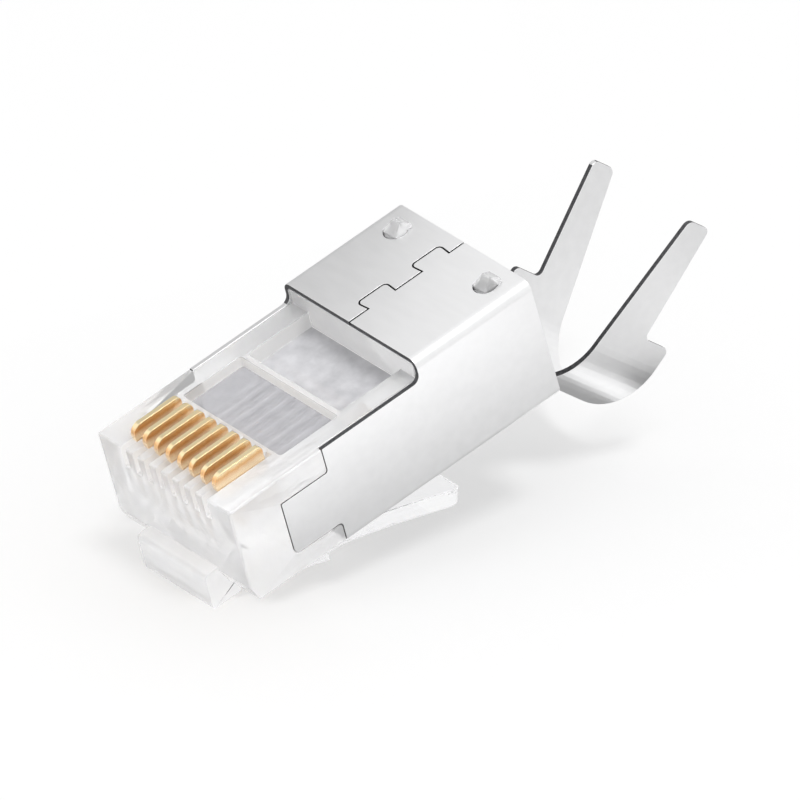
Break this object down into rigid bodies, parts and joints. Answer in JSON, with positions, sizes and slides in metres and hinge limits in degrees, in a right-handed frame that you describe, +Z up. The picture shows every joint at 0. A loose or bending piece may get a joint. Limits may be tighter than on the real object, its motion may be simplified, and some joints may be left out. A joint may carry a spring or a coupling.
{
  "type": "shielded rj45 modular plug with crimp claws",
  "caption": "Clear modular plug with gold blades, sprung latch lever and a folded metal shield whose bent-down tail carries two crimp claws for the cable.",
  "frame": {"origin": "centre of the bounding box, on the surface that the loose plug rests on", "axes": "+X across the eight contacts towards contact 8, +Y rearwards towards the claws, +Z up; the plug's own long axis rises 16.8 degrees towards the rear, because it lies on its nose block and its latch tail"},
  "size_m": [0.0116, 0.0349, 0.0152],
  "materials": {
    "clear_plastic": "clear, polished mould",
    "shield_metal": "satin nickel plate on stamped sheet",
    "contact_gold": "thin gold plate"
  },
  "bodies": {
    "plug": {"housing": "clear_plastic", "shield": "shield_metal", "contact_1": "contact_gold", "contact_2": "contact_gold", "contact_3": "contact_gold", "contact_4": "contact_gold", "contact_5": "contact_gold", "contact_6": "contact_gold", "contact_7": "contact_gold", "contact_8": "contact_gold"},
    "latch": {"latch": "clear_plastic"}
  },
  "joints": [
    {"name": "latch_press", "type": "hinge", "parent": "plug", "child": "latch", "pos_m": [0, -0.01402, 0.00119], "axis": [1, 0, 0], "range_deg": [0, 14], "stiffness_Nm_per_rad": 0.3}
  ]
}
